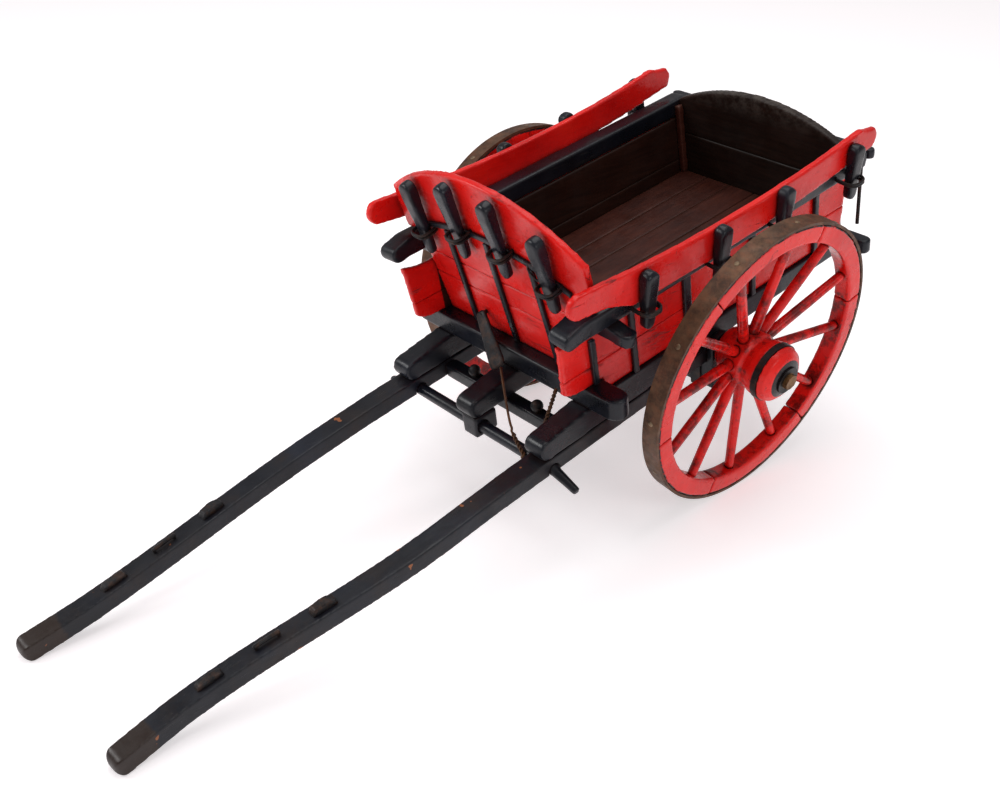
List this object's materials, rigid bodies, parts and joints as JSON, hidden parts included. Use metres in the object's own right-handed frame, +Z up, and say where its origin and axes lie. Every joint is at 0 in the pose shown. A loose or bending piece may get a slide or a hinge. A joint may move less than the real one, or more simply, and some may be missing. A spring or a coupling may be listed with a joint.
{
  "type": "two-wheeled tipping farm cart",
  "caption": "Two-wheeled wooden farm cart with long shafts, a red tub that tips on its axle, spoked wheels with iron tyres and a lift-out tailboard.",
  "frame": {"origin": "on the floor, under the middle of the bounding box", "axes": "+X across the cart, -Y forward along the shafts, +Z up"},
  "size_m": [0.339, 0.7306, 0.2882],
  "materials": {
    "wheel_red": "gloss enamel over wood, grimy in the grain",
    "cart_red": "gloss red paint over planed wood, grimy",
    "navy_paint": "satin blue-black paint over wood",
    "shaft_paint": "satin blue-black paint over wood, worn at the tips",
    "floor_wood": "dark brown varnished wood",
    "tail_paint": "dark varnish, worn grey along the top",
    "black_iron": "blackened iron",
    "tyre_iron": "rusty brown iron, worn",
    "rusty_wire": "rusty twisted wire",
    "hub_brass": "tarnished brass with rust"
  },
  "bodies": {
    "chassis": {"shaft_left": "shaft_paint", "shaft_right": "shaft_paint", "crossbar": "shaft_paint", "tongue_block": "shaft_paint", "rear_crosspiece": "shaft_paint", "crosspiece_bolts": "black_iron", "axle_bed": "shaft_paint", "axle_arms": "black_iron", "axle_straps": "black_iron", "tip_pins": "black_iron", "shaft_staples": "black_iron", "hub_nut_left": "hub_brass", "hub_nut_right": "hub_brass"},
    "lock": {"lock_wire": "rusty_wire"},
    "wheel_left": {"hub_left": "wheel_red", "hub_band_left": "black_iron", "spokes_left": "wheel_red", "felloes_left": "wheel_red", "tyre_left": "tyre_iron"},
    "wheel_right": {"hub_right": "wheel_red", "hub_band_right": "black_iron", "spokes_right": "wheel_red", "felloes_right": "wheel_red", "tyre_right": "tyre_iron"},
    "tub": {"bearer_left": "navy_paint", "bearer_mid": "navy_paint", "bearer_right": "navy_paint", "front_sill": "navy_paint", "mid_sill": "navy_paint", "rear_sill": "navy_paint", "floor_planks": "floor_wood", "side_plank_low_left": "cart_red", "side_plank_top_left": "cart_red", "side_rail_left": "navy_paint", "side_strips_left": "navy_paint", "side_stakes_left": "navy_paint", "sideboard_left": "cart_red", "side_plank_low_right": "cart_red", "side_plank_top_right": "cart_red", "side_rail_right": "navy_paint", "side_strips_right": "navy_paint", "side_stakes_right": "navy_paint", "sideboard_right": "cart_red", "front_plank_low": "cart_red", "front_plank_top": "cart_red", "headboard": "cart_red", "front_rail": "navy_paint", "front_strips": "navy_paint", "front_stakes": "navy_paint", "front_cross_rail": "navy_paint", "rear_top_rail": "navy_paint", "corner_rods": "black_iron", "corner_posts": "floor_wood", "tip_hinges": "black_iron", "latch_bar": "black_iron", "stake_ties": "black_iron"},
    "tailboard": {"tail_plank_low": "tail_paint", "tail_plank_high": "tail_paint", "tail_battens": "navy_paint"}
  },
  "joints": [
    {"name": "wheel_right_spin", "type": "hinge", "parent": "chassis", "child": "wheel_right", "pos_m": [0.14155, 0.18271, 0.12407], "axis": [0.9925, 0, -0.1219], "continuous": true},
    {"name": "wheel_left_spin", "type": "hinge", "parent": "chassis", "child": "wheel_left", "pos_m": [-0.14155, 0.18271, 0.12407], "axis": [-0.9925, 0, -0.1219], "continuous": true},
    {"name": "body_tip", "type": "hinge", "parent": "chassis", "child": "tub", "pos_m": [0, 0.18334, 0.11981], "axis": [-1, 0, 0], "range_deg": [0, 45]},
    {"name": "tail_lift", "type": "slide", "parent": "tub", "child": "tailboard", "axis": [0, -0.1453, 0.9894], "range_m": [0, 0.075]},
    {"name": "lock_swing", "type": "hinge", "parent": "chassis", "child": "lock", "pos_m": [0, 0.00002, 0.08106], "axis": [1, 0, 0], "range_deg": [0, 90]}
  ]
}
